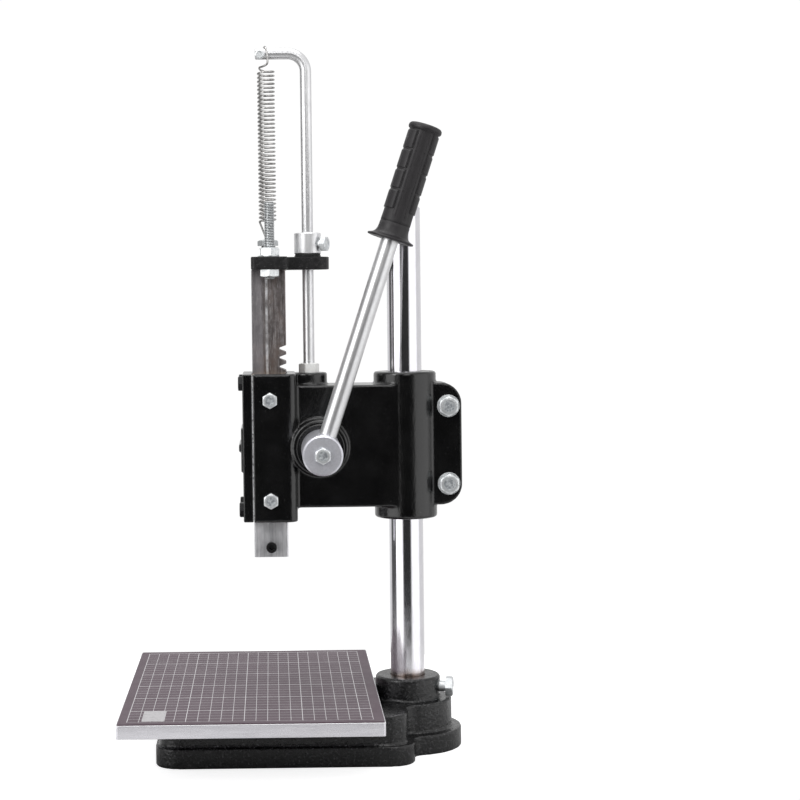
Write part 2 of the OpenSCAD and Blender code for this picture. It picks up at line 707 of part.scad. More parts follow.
base_casting();
work_plate();
cutting_mat();
blank_label();
plate_screws();
column_set_screw();
column();
head_casting();
front_cover();
cover_bolts();
ram_gib();
gib_bolts();
clamp_bolts();
clamp_washers();
clamp_nuts();
guide_rod();
rod_lock_nut();
spring_keeper_screw();
pinion_bush_near();
pinion_bush_far();
pinion_gear();
pinion_shaft();
pinion_key();
handle_hub();
hub_pin();
lever_lock_bolt();
handle_rod();
handle_grip();
shaft_end_washer();
shaft_end_bolt();
ram();
punch_set_screw();
top_bracket();
spring_anchor_bolt();
anchor_nut();
anchor_washer();
rubber_buffer();
buffer_washer();
stop_nuts();
stop_washer();
depth_stop_stud();
stop_collar();
collar_set_screw();
return_spring();
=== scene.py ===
"""Looks of the bench hand press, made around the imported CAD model."""
import json
import math

import bpy
from mathutils import Matrix, Vector


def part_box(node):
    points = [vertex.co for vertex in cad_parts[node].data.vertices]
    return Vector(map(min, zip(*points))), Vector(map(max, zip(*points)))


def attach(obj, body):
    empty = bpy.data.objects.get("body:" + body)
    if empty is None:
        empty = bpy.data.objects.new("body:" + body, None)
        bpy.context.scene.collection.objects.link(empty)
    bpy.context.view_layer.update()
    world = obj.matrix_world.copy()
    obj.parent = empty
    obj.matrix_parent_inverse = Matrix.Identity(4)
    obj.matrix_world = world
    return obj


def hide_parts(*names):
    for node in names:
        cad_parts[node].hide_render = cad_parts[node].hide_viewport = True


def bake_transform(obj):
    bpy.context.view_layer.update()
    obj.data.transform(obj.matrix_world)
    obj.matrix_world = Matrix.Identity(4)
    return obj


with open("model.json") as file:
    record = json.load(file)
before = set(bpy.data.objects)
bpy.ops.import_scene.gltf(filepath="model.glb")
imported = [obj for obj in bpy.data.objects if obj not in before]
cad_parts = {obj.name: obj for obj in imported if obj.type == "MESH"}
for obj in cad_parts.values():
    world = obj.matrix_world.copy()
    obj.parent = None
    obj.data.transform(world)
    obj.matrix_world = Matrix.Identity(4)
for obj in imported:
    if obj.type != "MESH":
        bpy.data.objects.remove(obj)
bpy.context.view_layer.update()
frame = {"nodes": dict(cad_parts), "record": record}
nodes = frame["nodes"]
MM = 0.001
JOINTS = {joint["name"]: joint for joint in frame["record"]["behaviour"]["joints"]}
PITCH_AXIS = Vector(JOINTS["handle_turn"]["pos_m"])


# ---- Node-tree helpers ----

class Shader:
    """One material and short calls for the nodes that make it up."""

    def __init__(self, name, color, metallic=0.0, roughness=0.5, **sockets):
        self.material = bpy.data.materials.new(name)
        self.material.use_nodes = True
        self.tree = self.material.node_tree
        self.bsdf = self.tree.nodes["Principled BSDF"]
        self.set_socket("Base Color", (*color, 1.0))
        self.set_socket("Metallic", metallic)
        self.set_socket("Roughness", roughness)
        for socket, value in sockets.items():
            self.set_socket(socket.replace("_", " ").title().replace("Ior", "IOR"), value)
        self.point = self.node("ShaderNodeTexCoord").outputs["Object"]
        self.normal = None

    def set_socket(self, name, value):
        self.bsdf.inputs[name].default_value = value

    def node(self, kind, inputs=None, **settings):
        made = self.tree.nodes.new(kind)
        for key, value in settings.items():
            setattr(made, key, value)
        for key, value in (inputs or {}).items():
            if isinstance(value, bpy.types.NodeSocket):
                self.tree.links.new(value, made.inputs[key])
            else:
                made.inputs[key].default_value = value
        return made

    def link(self, output, socket):
        self.tree.links.new(output, self.bsdf.inputs[socket])

    def math(self, operation, a, b=0.0):
        return self.node("ShaderNodeMath", {0: a, 1: b}, operation=operation).outputs[0]

    def stretched(self, scale):
        return self.node("ShaderNodeMapping", {"Vector": self.point, "Scale": scale}).outputs[0]

    def noise(self, scale, detail=3.0, rough=0.55, stretch=(1, 1, 1), distortion=0.0):
        return self.node("ShaderNodeTexNoise", {
            "Vector": self.stretched(stretch), "Scale": scale, "Detail": detail,
            "Roughness": rough, "Distortion": distortion}).outputs["Fac"]

    def grain(self, scale, stretch, patch=70):
        """Lines along the grain, and the same lines mixed with soft patches of patch's scale."""
        cloud = self.noise(patch, 4, 0.6)
        lines = self.noise(scale, 3, 0.6, stretch)
        both = self.math("ADD", self.math("MULTIPLY", lines, 0.6),
                         self.math("MULTIPLY", cloud, 0.4))
        return lines, both

    def spread(self, value, low, high, to_low=0.0, to_high=1.0):
        """value between low and high, spread over to_low to to_high and held at its ends."""
        return self.node("ShaderNodeMapRange", {
            "Value": value, "From Min": low, "From Max": high,
            "To Min": to_low, "To Max": to_high}).outputs["Result"]

    def mix(self, factor, a, b):
        mixed = self.node("ShaderNodeMix", {"Factor": factor}, data_type="RGBA")
        for index, value in ((6, a), (7, b)):
            if isinstance(value, bpy.types.NodeSocket):
                self.tree.links.new(value, mixed.inputs[index])
            else:
                mixed.inputs[index].default_value = (*value, 1.0)
        return mixed.outputs[2]

    def bump(self, height, depth, strength=1.0):
        """Adds a bump of that depth in metres over the bumps made so far."""
        inputs = {"Height": height, "Distance": depth, "Strength": strength}
        if self.normal is not None:
            inputs["Normal"] = self.normal
        self.normal = self.node("ShaderNodeBump", inputs).outputs["Normal"]
        self.link(self.normal, "Normal")

    def axis(self, name):
        return self.node("ShaderNodeSeparateXYZ", {0: self.point}).outputs[name]

    def distance(self, move=(0, 0, 0), scale=(1, 1, 1)):
        """Distance from the origin of a point that is scaled axis by axis and then moved."""
        place = self.node("ShaderNodeMapping", {
            "Vector": self.point, "Location": move, "Scale": scale}).outputs[0]
        return self.node("ShaderNodeVectorMath", {0: place}, operation="LENGTH").outputs["Value"]


# ---- Materials ----

# Pitch of the lathe rings on turned steel, and how far the worn track on the ram lies in front
# of its middle.
RING_PITCH = 0.7 * MM
RAM_TRACK = 2.0 * MM
# The plane in which the front cover meets the head casting.
JOINT_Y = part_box("front_cover")[1].y
# The stud's thread, in millimetres.
THREAD_RADIUS, THREAD_DEPTH, THREAD_PITCH, THREAD_CHAMFER = 5.0, 0.85, 1.5, 1.0
# Width across flats of the hexagon heads.
M8_FLATS, M10_FLATS = 13 * MM, 17 * MM


def enamel():
    """Thick gloss black enamel over a casting: waves, orange peel, dust, a chipped joint."""
    shader = Shader("enamel", (0.002, 0.002, 0.0022), 0.0, 0.2, coat_weight=0.25,
                    coat_roughness=0.07)
    shader.link(shader.spread(shader.noise(45, 4), 0.35, 0.7, 0.16, 0.26), "Roughness")
    dust = shader.spread(shader.noise(820, 2), 0.72, 0.76)
    dusty = shader.mix(dust, (0.002, 0.002, 0.0022), (0.09, 0.09, 0.092))
    from_joint = shader.math("ABSOLUTE", shader.math("SUBTRACT", shader.axis("Y"), JOINT_Y))
    chips = shader.math("MULTIPLY", shader.spread(from_joint, 0.36 * MM, 0.56 * MM, 1.0, 0.0),
                        shader.spread(shader.noise(420, 3), 0.33, 0.45, 0.1, 0.8))
    shader.link(shader.mix(chips, dusty, (0.95, 0.95, 0.96)), "Base Color")
    shader.bump(shader.noise(75, 2), 0.0006, 0.35)
    shader.bump(shader.noise(190, 3), 0.0004, 0.4)
    shader.bump(shader.noise(480, 3), 0.00028, 0.8)
    return shader.material


def textured_enamel():
    """Gloss black paint over the rougher sand-cast base."""
    shader = Shader("textured_enamel", (0.0025, 0.0025, 0.0028), 0.0, 0.3,
                    specular_ior_level=0.5)
    shader.link(shader.spread(shader.noise(60, 4), 0.3, 0.75, 0.17, 0.27), "Roughness")
    dust = shader.spread(shader.noise(420, 3, 0.6), 0.56, 0.74)
    shader.link(shader.mix(dust, (0.0025, 0.0025, 0.0028), (0.055, 0.055, 0.058)), "Base Color")
    shader.bump(shader.noise(340, 3), 0.0008, 0.8)
    return shader.material


def metal(name, color, dark, rough, grain, grain_scale=260, depth=0.00002, patch=70):
    """Bare or plated metal: colour and gloss vary in patches and along the grain."""
    shader = Shader(name, color, 1.0, rough[0])
    lines, both = shader.grain(grain_scale, grain, patch)
    shader.link(shader.mix(shader.spread(both, 0.36, 0.66), dark, color), "Base Color")
    shader.link(shader.spread(both, 0.35, 0.68, rough[1], rough[0]), "Roughness")
    shader.bump(lines, depth, 0.6)
    return shader


def chrome_bar():
    """Hard-chromed and polished column: drawing grain, a handled dull foot, a ring of rust."""
    shader = Shader("chrome_bar", (0.80, 0.79, 0.82), 1.0, 0.1)
    lines, both = shader.grain(300, (9, 9, 0.35))
    clean = shader.mix(shader.spread(both, 0.36, 0.66), (0.70, 0.69, 0.73), (0.82, 0.81, 0.84))
    height = shader.axis("Z")
    socket_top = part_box("base_casting")[1].z
    smear = shader.noise(120, 4, 0.6, (1, 1, 0.4))
    dull = shader.spread(height, socket_top + 10 * MM, socket_top + 110 * MM, 1.0, 0.0)
    dull = shader.math("MULTIPLY", dull, shader.spread(smear, 0.35, 0.65, 0.4, 1.0))
    rust_height = shader.math("ADD", height, shader.math("MULTIPLY", smear, -0.012))
    rust = shader.spread(rust_height, socket_top - 6 * MM, socket_top + 1.5 * MM, 0.75, 0.0)
    shader.link(shader.mix(rust, clean, (0.24, 0.12, 0.06)), "Base Color")
    polish = shader.spread(both, 0.35, 0.68, 0.15, 0.07)
    shader.link(shader.math("ADD", polish, shader.math("MULTIPLY", dull, 0.17)), "Roughness")
    shader.bump(lines, 0.000006, 0.6)
    return shader.material


def lever_bar():
    """Brushed chrome of the lever and the guide rod, a little duller than the column."""
    return metal("lever_bar", (0.80, 0.80, 0.81), (0.66, 0.66, 0.67), (0.30, 0.40),
                 (5, 5, 0.8), 300, 0.000006).material


def turned_collar():
    """Smooth turned steel of the collar on the guide rod."""
    return metal("turned_collar", (0.84, 0.84, 0.85), (0.79, 0.79, 0.80), (0.40, 0.44),
                 (0.2, 0.2, 3), 120, 0.0000003, 40).material


def bracket_black():
    """Thin black paint over the sawn steel of the bracket: mottled, with paler scuffs."""
    shader = Shader("bracket_black", (0.012, 0.012, 0.0125), 0.0, 0.45, specular_ior_level=0.3)
    mottle = shader.noise(240, 4, 0.7)
    scuffs = shader.noise(900, 2, 0.5, (1, 0.5, 1.6), 0.5)
    painted = shader.mix(shader.spread(mottle, 0.4, 0.7), (0.004, 0.004, 0.0045),
                         (0.020, 0.0195, 0.0205))
    shader.link(shader.mix(shader.spread(scuffs, 0.62, 0.72, 0.0, 0.8), painted,
                           (0.09, 0.088, 0.09)), "Base Color")
    shader.link(shader.spread(mottle, 0.3, 0.7, 0.5, 0.36), "Roughness")
    shader.bump(mottle, 0.00012, 0.5)
    return shader.material


def zinc(name="zinc"):
    """Bright zinc plating of the bolts and nuts, over cold-forged steel."""
    shader = metal(name, (0.89, 0.91, 0.92), (0.60, 0.62, 0.63), (0.34, 0.48), (1, 1, 1),
                   500, 0.00002, 180)
    shader.bump(shader.noise(800, 2), 0.00008, 0.7)
    return shader


def bolt_heads(node, across_flats):
    """Zinc bolts whose heads face +X, one over the other: the middle of each head is painted
    darker, as shade in its recess, mixed with stamp marks, inside a bright rim.
    """
    shader = zinc("zinc_" + node)
    low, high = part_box(node)
    middle = (low + high) / 2
    corner = across_flats / math.sqrt(3)
    apart = max(0.0, (high.z - low.z) / 2 - corner)
    if apart < corner:
        apart = 0.0
    across = shader.math("SUBTRACT", shader.axis("Y"), middle.y)
    upright = shader.math("SUBTRACT", shader.math("ABSOLUTE", shader.math(
        "SUBTRACT", shader.axis("Z"), middle.z)), apart)
    radius = shader.math("SQRT", shader.math("ADD", shader.math("POWER", across, 2.0),
                                             shader.math("POWER", upright, 2.0)))
    # Painted shade: the recess in the middle of each head is coloured darker, with stamp marks, to
    # stand in for its shading.
    dish_painted_shade = shader.spread(radius, 0.29 * across_flats, 0.33 * across_flats, 1.0, 0.0)
    plated = shader.bsdf.inputs["Base Color"].links[0].from_socket
    marks = shader.spread(shader.noise(420, 3), 0.42, 0.6)
    stamps_and_painted_shade = shader.mix(marks, (0.44, 0.47, 0.50), (0.86, 0.89, 0.91))
    shader.link(shader.mix(dish_painted_shade, plated, stamps_and_painted_shade), "Base Color")
    return shader.material


def bright_zinc():
    """Fresh, matt zinc of the guide rod's lock nut."""
    return metal("zinc_bright", (0.97, 0.97, 0.95), (0.88, 0.88, 0.87), (0.50, 0.58), (1, 1, 1),
                 500, 0.00001, 180).material


def threaded_zinc(node):
    """Zinc of a threaded stud, with oil and shade in the grooves of its thread."""
    shader = metal("zinc_thread", (0.84, 0.86, 0.87), (0.68, 0.70, 0.71), (0.30, 0.40), (1, 1, 1),
                   500, 0.000005, 180)
    middle = (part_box(node)[0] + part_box(node)[1]) / 2
    radius = shader.distance((-middle.x, -middle.y, 0), (1, 1, 0))
    groove = shader.spread(radius, (THREAD_RADIUS - 0.8) * MM, (THREAD_RADIUS - 0.2) * MM,
                           0.85, 0.0)
    clean = shader.bsdf.inputs["Base Color"].links[0].from_socket
    shader.link(shader.mix(groove, clean, (0.12, 0.12, 0.12)), "Base Color")
    return shader.material


def hub_steel():
    """Turned steel: rings of the lathe tool round the shaft's axis."""
    shader = metal("hub_steel", (0.83, 0.83, 0.88), (0.62, 0.62, 0.67), (0.36, 0.48),
                   (8, 1, 1), 260, 0.00001)
    radius = shader.distance((0, -PITCH_AXIS.y, -PITCH_AXIS.z), (0.25, 1, 1))
    rings = shader.math("SINE", shader.math("MULTIPLY", radius, 2 * math.pi / RING_PITCH))
    shader.bump(rings, 0.000012, 0.5)
    return shader.material


def gear_steel():
    """Machined and oiled steel of the gear, shaft and key."""
    return metal("gear_steel", (0.42, 0.41, 0.40), (0.22, 0.21, 0.20), (0.26, 0.45),
                 (3, 1, 1), 500, 0.00003).material


def ram_steel():
    """Scaled, oiled bar: brown streaks along it, the gib's track, and a cleaner machined foot."""
    shader = Shader("ram_steel", (0.2, 0.18, 0.17), 0.85, 0.4)
    streaks = shader.noise(150, 4, 0.62, (3.2, 3.2, 0.16))
    blotches = shader.noise(40, 5, 0.66, (1, 1, 0.6), 0.6)
    brown = shader.mix(shader.spread(streaks, 0.36, 0.64), (0.165, 0.14, 0.135),
                       (0.47, 0.44, 0.44))
    mottle = shader.noise(330, 5, 0.7, (1, 1, 0.5))
    brown = shader.mix(shader.spread(mottle, 0.38, 0.66, 0.75, 0.0), brown, (0.125, 0.107, 0.104))
    stained = shader.mix(shader.spread(blotches, 0.50, 0.68), brown, (0.18, 0.14, 0.122))
    scratches = shader.noise(900, 2, 0.5, (3.5, 3.5, 0.10))
    scratched = shader.mix(shader.spread(scratches, 0.66, 0.74), stained, (0.75, 0.73, 0.72))
    along_y = shader.axis("Y")
    polished = shader.mix(shader.spread(along_y, -7 * MM, -4 * MM, 0.5, 0.0), scratched,
                          (0.40, 0.385, 0.41))
    from_track = shader.math("ABSOLUTE", shader.math("ADD", along_y, RAM_TRACK))
    track = shader.math("MULTIPLY", shader.spread(from_track, 0.8 * MM, 1.5 * MM, 1.0, 0.0),
                        shader.spread(shader.noise(75, 4, 0.7), 0.36, 0.6, 0.15, 0.95))
    worn = shader.mix(track, polished, (0.95, 0.94, 0.96))
    ram_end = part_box("ram")[0].z
    foot = shader.spread(shader.axis("Z"), ram_end + 30 * MM, ram_end + 40 * MM, 1.0, 0.0)
    clean = shader.mix(shader.spread(streaks, 0.35, 0.65), (0.68, 0.68, 0.71), (0.98, 0.98, 1.0))
    shader.link(shader.mix(foot, worn, clean), "Base Color")
    shader.link(shader.spread(blotches, 0.35, 0.7, 0.30, 0.50), "Roughness")
    shader.bump(streaks, 0.00006, 0.5)
    shader.bump(scratches, 0.00003, 0.5)
    return shader.material


def plate_steel():
    """Ground edge of the work plate, even with a faint grain along it, and a painted highlight on
    its chamfer: matt near-white where the face tilts between side and top.
    """
    shader = metal("plate_steel", (0.70, 0.69, 0.725), (0.64, 0.63, 0.665), (0.24, 0.28),
                   (0.25, 0.25, 3), 160, 0.000003, 9)
    normal = shader.node("ShaderNodeNewGeometry").outputs["Normal"]
    tilt = shader.node("ShaderNodeSeparateXYZ", {0: normal}).outputs["Z"]
    # Painted highlight: the chamfer between side and top gets a matt near-white colour, less
    # metallic, to shine like a lit edge.
    chamfer = shader.math("MULTIPLY", shader.spread(tilt, 0.08, 0.25),
                          shader.spread(tilt, 0.95, 0.995, 1.0, 0.0))
    ground = shader.bsdf.inputs["Base Color"].links[0].from_socket
    shader.link(shader.mix(chamfer, ground, (0.97, 0.97, 0.98)), "Base Color")
    shader.link(shader.math("SUBTRACT", 1.0, shader.math("MULTIPLY", chamfer, 0.75)), "Metallic")
    return shader.material


def spring_steel():
    """Bright drawn wire."""
    return metal("spring_steel", (0.68, 0.67, 0.66), (0.17, 0.165, 0.16), (0.12, 0.24),
                 (1, 1, 1), 420, 0.00001).material


def brass():
    """Brass of the gib strip."""
    return metal("brass", (0.72, 0.52, 0.24), (0.46, 0.32, 0.14), (0.3, 0.45), (1, 6, 0.6)).material


def black_oxide():
    """Blackened steel of the socket screw and the cover's bolts."""
    shader = Shader("black_oxide", (0.016, 0.016, 0.017), 0.6, 0.38)
    shader.link(shader.spread(shader.noise(500, 3), 0.35, 0.7, 0.26, 0.5), "Roughness")
    shader.bump(shader.noise(900, 2), 0.00004, 0.5)
    return shader.material


def rubber(name, color, rough):
    """Moulded rubber with a fine matt skin and paler scuffs."""
    shader = Shader(name, color, 0.0, rough)
    pale = tuple(1.8 * channel for channel in color)
    scuffs = shader.spread(shader.noise(150, 5, 0.65), 0.46, 0.72, 0.0, 0.7)
    shader.link(shader.mix(scuffs, color, pale), "Base Color")
    shader.link(shader.spread(shader.noise(80, 3), 0.3, 0.7, rough - 0.08, rough + 0.12),
                "Roughness")
    shader.bump(shader.noise(2600, 2), 0.00005, 0.6)
    shader.bump(shader.noise(420, 2), 0.00008, 0.4)
    return shader.material


def grid_lines(shader, axis, start, count, pitch, half_width):
    """1 on the printed lines across an axis, from the first line to the last, else 0."""
    along = shader.math("DIVIDE", shader.math("SUBTRACT", axis, start), pitch)
    nearest = shader.math("ROUND", along)
    away = shader.math("MULTIPLY", shader.math("ABSOLUTE", shader.math("SUBTRACT", along, nearest)),
                       pitch)
    soft = 0.06 * MM
    line = shader.spread(away, half_width - soft, half_width + soft, 1.0, 0.0)
    inside = shader.math("MULTIPLY", shader.math("GREATER_THAN", nearest, -0.5),
                         shader.math("LESS_THAN", nearest, count + 0.5))
    return shader.math("MULTIPLY", line, inside)


# The printed grid: pitch of its cells, and its first line and number of cells along each side.
GRID_PITCH = 10.2 * MM
GRID_MAJOR = 5
GRID_MARGIN = 8.0 * MM
MAT_LOW, MAT_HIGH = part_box("cutting_mat")
GRID_Y = (MAT_LOW.y + GRID_MARGIN, 21)
GRID_X = (MAT_HIGH.x - GRID_MARGIN - 29 * GRID_PITCH, 29)


def mat_surface():
    """Purple-grey mat with a printed centimetre grid, a little heavier at every fifth line."""
    shader = Shader("mat_surface", (0.12, 0.09, 0.105), 0.0, 0.5)
    x, y = shader.axis("X"), shader.axis("Y")
    lines = None
    for axis, (start, count), (other, (low, other_count)) in (
            (y, GRID_Y, (x, GRID_X)), (x, GRID_X, (y, GRID_Y))):
        fine = grid_lines(shader, axis, start, count, GRID_PITCH, 0.22 * MM)
        major = grid_lines(shader, axis, start, count // GRID_MAJOR, GRID_PITCH * GRID_MAJOR,
                           0.28 * MM if axis is y else 0.55 * MM)
        high = low + other_count * GRID_PITCH
        span = shader.math("MULTIPLY", shader.math("GREATER_THAN", other, low - 0.5 * MM),
                           shader.math("LESS_THAN", other, high + 0.5 * MM))
        drawn = shader.math("MAXIMUM", shader.math("MULTIPLY", fine, 0.9), major)
        drawn = shader.math("MULTIPLY", drawn, span)
        lines = drawn if lines is None else shader.math("MAXIMUM", lines, drawn)
    ground = shader.mix(shader.spread(shader.noise(22, 4), 0.3, 0.7), (0.068, 0.041, 0.056),
                        (0.080, 0.050, 0.067))
    worn = shader.math("MULTIPLY", lines, shader.spread(shader.noise(500, 2), 0.25, 0.5, 0.7, 0.9))
    normal = shader.node("ShaderNodeNewGeometry").outputs["Normal"]
    facing_up = shader.spread(shader.node("ShaderNodeSeparateXYZ", {0: normal}).outputs["Z"],
                              0.7, 0.9)
    shader.link(shader.mix(shader.math("MULTIPLY", worn, facing_up), ground,
                           (0.66, 0.65, 0.66)), "Base Color")
    shader.link(shader.spread(shader.noise(60, 3), 0.3, 0.7, 0.46, 0.54), "Roughness")
    shader.bump(shader.noise(1400, 2), 0.00005, 0.5)
    return shader.material


def label_white():
    """Blank paper label, slightly rubbed."""
    shader = Shader("label_white", (0.5, 0.5, 0.51), 0.0, 0.55)
    shader.link(shader.mix(shader.spread(shader.noise(260, 4), 0.5, 0.8), (0.44, 0.43, 0.44),
                           (0.28, 0.27, 0.28)), "Base Color")
    shader.bump(shader.noise(700, 3), 0.00004, 0.5)
    return shader.material


MATERIALS = {
    "cast_textured": textured_enamel(),
    "plate_steel": plate_steel(),
    "mat_surface": mat_surface(),
    "label_white": label_white(),
    "zinc": zinc().material,
    "chrome_bar": chrome_bar(),
    "enamel": enamel(),
    "black_oxide": black_oxide(),
    "ram_steel": ram_steel(),
    "hub_steel": hub_steel(),
    "gear_steel": gear_steel(),
    "gib_brass": brass(),
    "grip_rubber": rubber("grip_rubber", (0.0070, 0.0056, 0.0070), 0.46),
    "buffer_rubber": rubber("buffer_rubber", (0.014, 0.014, 0.014), 0.6),
    "spring_steel": spring_steel(),
}
BRUSHED_BAR = lever_bar()
OWN_FINISH = {
    "handle_rod": BRUSHED_BAR,
    "guide_rod": BRUSHED_BAR,
    "stop_collar": turned_collar(),
    "top_bracket": bracket_black(),
    "clamp_bolts": bolt_heads("clamp_bolts", M10_FLATS),
    "gib_bolts": bolt_heads("gib_bolts", M8_FLATS),
    "lever_lock_bolt": bolt_heads("lever_lock_bolt", M8_FLATS),
    "rod_lock_nut": bright_zinc(),
}


def assign(obj, material):
    """Puts a material in every slot of a mesh."""
    if not obj.data.materials:
        obj.data.materials.append(material)
    for index in range(len(obj.data.materials)):
        obj.data.materials[index] = material


# ---- CAD nodes: materials, and rounded edges as modifiers ----

SLOTS = {part["node"]: part["material_slot"] for part in frame["record"]["subparts"]}


def add_modifier(obj, kind, **settings):
    made = obj.modifiers.new(kind.lower(), kind)
    for key, value in settings.items():
        setattr(made, key, value)
    return made


def soften_edges(obj, width, flat_faces=False):
    """Joins the facets of a CAD mesh and breaks its sharp edges."""
    add_modifier(obj, "WELD", merge_threshold=0.00001)
    if flat_faces:
        add_modifier(obj, "DECIMATE", decimate_type="DISSOLVE", angle_limit=math.radians(1))
    add_modifier(obj, "BEVEL", width=width, segments=2, limit_method="ANGLE",
                 angle_limit=math.radians(34), use_clamp_overlap=True, harden_normals=False,
                 miter_outer="MITER_ARC")
    add_modifier(obj, "WEIGHTED_NORMAL", mode="FACE_AREA", weight=100)
    for polygon in obj.data.polygons:
        polygon.use_smooth = True


def cast_skin(obj, voxel, passes):
    """Gives a casting the soft edges and fillets of sand-cast iron under thick paint."""
    add_modifier(obj, "REMESH", mode="VOXEL", voxel_size=voxel, use_smooth_shade=True)
    add_modifier(obj, "SMOOTH", factor=0.5, iterations=passes)


# Voxel size and smoothing passes of each painted casting, and widths of softened edges in mm.
CASTINGS = {"head_casting": (1.1 * MM, 5), "base_casting": (1.1 * MM, 4),
            "front_cover": (0.8 * MM, 4), "top_bracket": (0.7 * MM, 3)}
EDGES = {"work_plate": 1.2, "cutting_mat": 0.3, "ram": 0.5, "ram_gib": 0.3, "blank_label": 0.05}
EDGE_DEFAULT = 0.25


def dress_frame():
    """Gives every CAD node its material, and soft edges where it shows."""
    for name, obj in nodes.items():
        assign(obj, MATERIALS[SLOTS[name]])
        if name in CASTINGS:
            cast_skin(obj, *CASTINGS[name])
        else:
            soften_edges(obj, EDGES.get(name, EDGE_DEFAULT) * MM, name == "work_plate")
    for name, material in OWN_FINISH.items():
        assign(nodes[name], material)


# ---- New pieces that stand for CAD nodes ----

def add_piece(name, vertices, faces, slot, body, *replaced):
    """A smooth-shaded mesh in metres, in the row's frame, that rides on a body."""
    mesh = bpy.data.meshes.new(name)
    mesh.from_pydata(vertices, [], faces)
    mesh.validate()
    for polygon in mesh.polygons:
        polygon.use_smooth = True
    obj = bpy.data.objects.new(name, mesh)
    bpy.context.scene.collection.objects.link(obj)
    assign(obj, MATERIALS[slot])
    if body is not None:
        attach(obj, body)
    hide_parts(*replaced)
    return obj


def ring_faces(rings, sides):
    """Faces of a closed tube: the wall between each ring and the next, then the two ends."""
    faces = []
    for ring in range(rings - 1):
        low, high = ring * sides, (ring + 1) * sides
        for k in range(sides):
            k1 = (k + 1) % sides
            faces.append((low + k, low + k1, high + k1, high + k))
    faces.append(tuple(range(sides - 1, -1, -1)))
    top = (rings - 1) * sides
    faces.append(tuple(top + k for k in range(sides)))
    return faces


def turned_grid(stations, sides, radius, place):
    """Closed mesh round the Z axis of place: one ring at each station, of radius(station, turn)."""
    vertices = []
    for station in stations:
        for k in range(sides):
            turn = 2 * math.pi * k / sides
            r = radius(station, turn)
            vertices.append(place @ Vector((r * math.cos(turn), r * math.sin(turn), station)))
    return vertices, ring_faces(len(stations), sides)


def sweep(path, radius, sides):
    """Closed round tube along a path, its rings carried on without twist."""
    vertices = []
    side = None
    for index, point in enumerate(path):
        ahead = path[min(index + 1, len(path) - 1)] - path[max(index - 1, 0)]
        along = ahead.normalized()
        if side is None:
            side = along.orthogonal().normalized()
        side = (side - along * side.dot(along)).normalized()
        other = along.cross(side)
        for k in range(sides):
            turn = 2 * math.pi * k / sides
            vertices.append(point + radius * (side * math.cos(turn) + other * math.sin(turn)))
    return vertices, ring_faces(len(path), sides)


def smooth_path(points, steps):
    """Catmull-Rom curve through the points."""
    curve = []
    for i in range(len(points) - 1):
        p0, p1 = points[max(i - 1, 0)], points[i]
        p2, p3 = points[i + 1], points[min(i + 2, len(points) - 1)]
        for step in range(steps):
            t = step / steps
            curve.append(0.5 * ((2 * p1) + (p2 - p0) * t + (2 * p0 - 5 * p1 + 4 * p2 - p3) * t ** 2
                                + (3 * p1 - p0 - 3 * p2 + p3) * t ** 3))
    curve.append(points[-1].copy())
    return curve


def ramp_up(value, start, width):
    """0 before start, 1 after start + width, and an even rise between."""
    return min(1.0, max(0.0, (value - start) / width))


# The lever, from the hub's axis to the end of its grip, and its place on that axis.
LEVER_LENGTH = 307.0 * MM
GRIP_LENGTH = 107.0 * MM
LEVER_X = 96.0 * MM
LEVER_LEAN = math.radians(-18.3)
LEVER_PLACE = (Matrix.Translation((LEVER_X, PITCH_AXIS.y, PITCH_AXIS.z))
               @ Matrix.Rotation(LEVER_LEAN, 4, "X"))

# The grip's outline, as pairs of distance from its lower end and radius, and its moulded rows,
# in millimetres.
GRIP_PROFILE = ((0.0, 19.8), (0.25, 20.8), (0.8, 21.25), (1.5, 21.2), (2.0, 20.6), (2.5, 19.2),
                (3.1, 17.6), (4.2, 16.1), (5.8, 15.0), (8.5, 14.1), (12.0, 13.8), (14.6, 13.75),
                (14.9, 13.45), (15.4, 13.45), (15.7, 13.75), (21.0, 13.6), (30.0, 13.45),
                (99.9, 13.3), (100.5, 13.4), (101.0, 14.3), (101.7, 14.95), (102.8, 15.2),
                (104.2, 15.15), (105.3, 14.7), (106.3, 13.6), (106.8, 12.0), (107.0, 9.0))
GRIP_ROWS = 4
GRIP_ROW_START = 26.7
GRIP_ROW_PITCH = 18.6
GRIP_ROW_GAP = 1.0
GRIP_TURN = math.radians(6)
GRIP_STEP = 0.6
GRIP_SIDES = 240


def grip_profile(u):
    """Radius of the grip's outline at u."""
    for (u0, r0), (u1, r1) in zip(GRIP_PROFILE, GRIP_PROFILE[1:]):
        if u <= u1:
            return r0 + (r1 - r0) * (u - u0) / (u1 - u0)
    return GRIP_PROFILE[-1][1]


def grip_relief(u, turn):
    """Height of the moulded pads, ribs and grooves over the grip's plain profile."""
    away = math.degrees(abs((turn - GRIP_TURN + math.pi / 2) % math.pi - math.pi / 2))
    rib = ramp_up(away, 17, 2) * (1 - ramp_up(away, 28, 2))
    rib *= ramp_up(u, 19, 4) * (1 - ramp_up(u, 97.5, 2))
    relief = 0.45 * rib
    row = int((u - GRIP_ROW_START) // GRIP_ROW_PITCH)
    from_joint = abs((u - GRIP_ROW_START + GRIP_ROW_GAP / 2 + GRIP_ROW_PITCH / 2) % GRIP_ROW_PITCH
                     - GRIP_ROW_PITCH / 2)
    if 1 <= round((u - GRIP_ROW_START) / GRIP_ROW_PITCH) < GRIP_ROWS:
        relief += 0.35 * ramp_up(away, 13, 4) * (1 - ramp_up(from_joint, 0.2, 0.5)) * (1 - rib)
    if 0 <= row < GRIP_ROWS:
        along = u - GRIP_ROW_START - row * GRIP_ROW_PITCH
        length = GRIP_ROW_PITCH - GRIP_ROW_GAP
        inside = ramp_up(along, 0, 0.4) * (1 - ramp_up(along, length - 1.8, 1.8))
        pad = ramp_up(away, 35, 3)
        groove = ramp_up(away, 29, 1.5) * (1 - ramp_up(away, 33.5, 1.5))
        relief += inside * (1.0 * pad - 0.55 * groove)
    return relief


